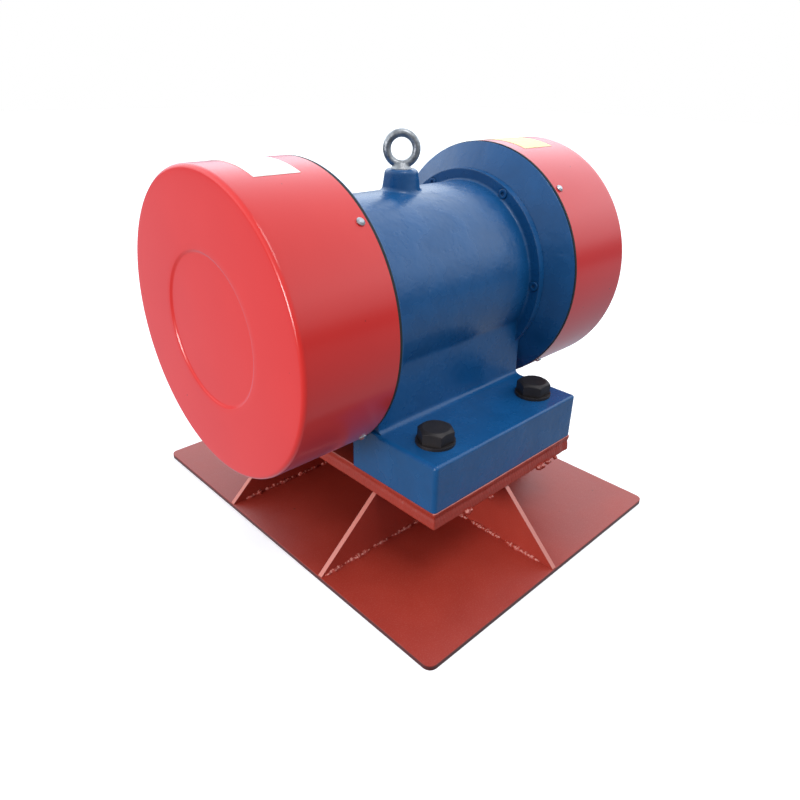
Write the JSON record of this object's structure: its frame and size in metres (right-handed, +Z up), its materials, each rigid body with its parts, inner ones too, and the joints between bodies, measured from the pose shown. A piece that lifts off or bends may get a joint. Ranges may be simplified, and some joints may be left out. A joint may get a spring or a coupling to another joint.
{
  "type": "vibration motor",
  "caption": "Three-phase vibration motor with eccentric weights under round end covers, foot-mounted with bolts on a welded gusset bracket with a large flat base plate.",
  "frame": {"origin": "centre of the base plate's underside", "axes": "+Z up, X along the shaft, +Y towards the terminal box"},
  "size_m": [0.434, 0.45, 0.3876],
  "materials": {
    "primer": "red-oxide primer, brushed and sprayed, satin",
    "blue_casting": "glossy blue enamel over a grey iron casting",
    "red_sheet": "glossy red enamel over pressed sheet steel",
    "zinc_steel": "zinc plated steel",
    "black_steel": "black oxide on high-strength steel",
    "bare_casting": "machined grey iron",
    "core_steel": "stacked electrical steel sheets",
    "winding": "varnished copper wire bundles",
    "rotor_aluminium": "die cast aluminium",
    "machined_steel": "turned and ground steel",
    "cage_brass": "machined brass",
    "seal_rubber": "black rubber sheet",
    "block_plastic": "moulded thermoset",
    "gland_plastic": "moulded polyamide"
  },
  "bodies": {
    "root": {"base_plate": "primer", "long_rib_front": "primer", "long_rib_rear": "primer", "cross_rib_front": "primer", "cross_rib_rear": "primer", "cross_rib_middle": "primer", "top_plate": "primer", "motor_frame": "blue_casting", "end_shield_left": "blue_casting", "end_shield_right": "blue_casting", "terminal_box": "blue_casting", "terminal_lid": "blue_casting", "shield_screws": "blue_casting", "weight_cover_left": "red_sheet", "weight_cover_right": "red_sheet", "cover_screws": "zinc_steel", "terminal_lid_screws": "zinc_steel", "terminal_box_screws": "zinc_steel", "lifting_eye": "zinc_steel", "cap_screws": "zinc_steel", "foot_bolts": "black_steel", "foot_washers": "black_steel", "outer_bearing_cap_left": "bare_casting", "outer_bearing_cap_right": "bare_casting", "inner_bearing_cap_left": "bare_casting", "inner_bearing_cap_right": "bare_casting", "stator_core": "core_steel", "stator_winding": "winding", "bearing_outer_ring_left": "machined_steel", "bearing_outer_ring_right": "machined_steel", "terminal_studs": "cage_brass", "cover_seal_left": "seal_rubber", "cover_seal_right": "seal_rubber", "terminal_box_gasket": "seal_rubber", "terminal_lid_gasket": "seal_rubber", "gland_seal": "seal_rubber", "terminal_block": "block_plastic", "gland_body": "gland_plastic", "gland_nut": "gland_plastic"},
    "rotor": {"shaft": "machined_steel", "rotor_core": "core_steel", "rotor_cage": "rotor_aluminium", "weight_keys": "machined_steel", "retaining_rings": "zinc_steel", "bearing_inner_ring_left": "machined_steel", "bearing_inner_ring_right": "machined_steel", "bearing_rollers_left": "machined_steel", "bearing_rollers_right": "machined_steel", "bearing_cage_left": "cage_brass", "bearing_cage_right": "cage_brass", "fixed_weight_left": "bare_casting", "fixed_weight_right": "bare_casting"},
    "left_weight": {"adjustable_weight_left": "bare_casting", "clamp_bolt_left": "black_steel"},
    "right_weight": {"adjustable_weight_right": "bare_casting", "clamp_bolt_right": "black_steel"}
  },
  "joints": [
    {"name": "rotor_spin", "type": "hinge", "parent": "root", "child": "rotor", "pos_m": [0, 0, 0.24], "axis": [1, 0, 0], "continuous": true},
    {"name": "left_weight_setting", "type": "hinge", "parent": "rotor", "child": "left_weight", "pos_m": [-0.19, 0, 0.24], "axis": [1, 0, 0], "range_deg": [0, 180]},
    {"name": "right_weight_setting", "type": "hinge", "parent": "rotor", "child": "right_weight", "pos_m": [0.19, 0, 0.24], "axis": [1, 0, 0], "range_deg": [0, 180]}
  ]
}
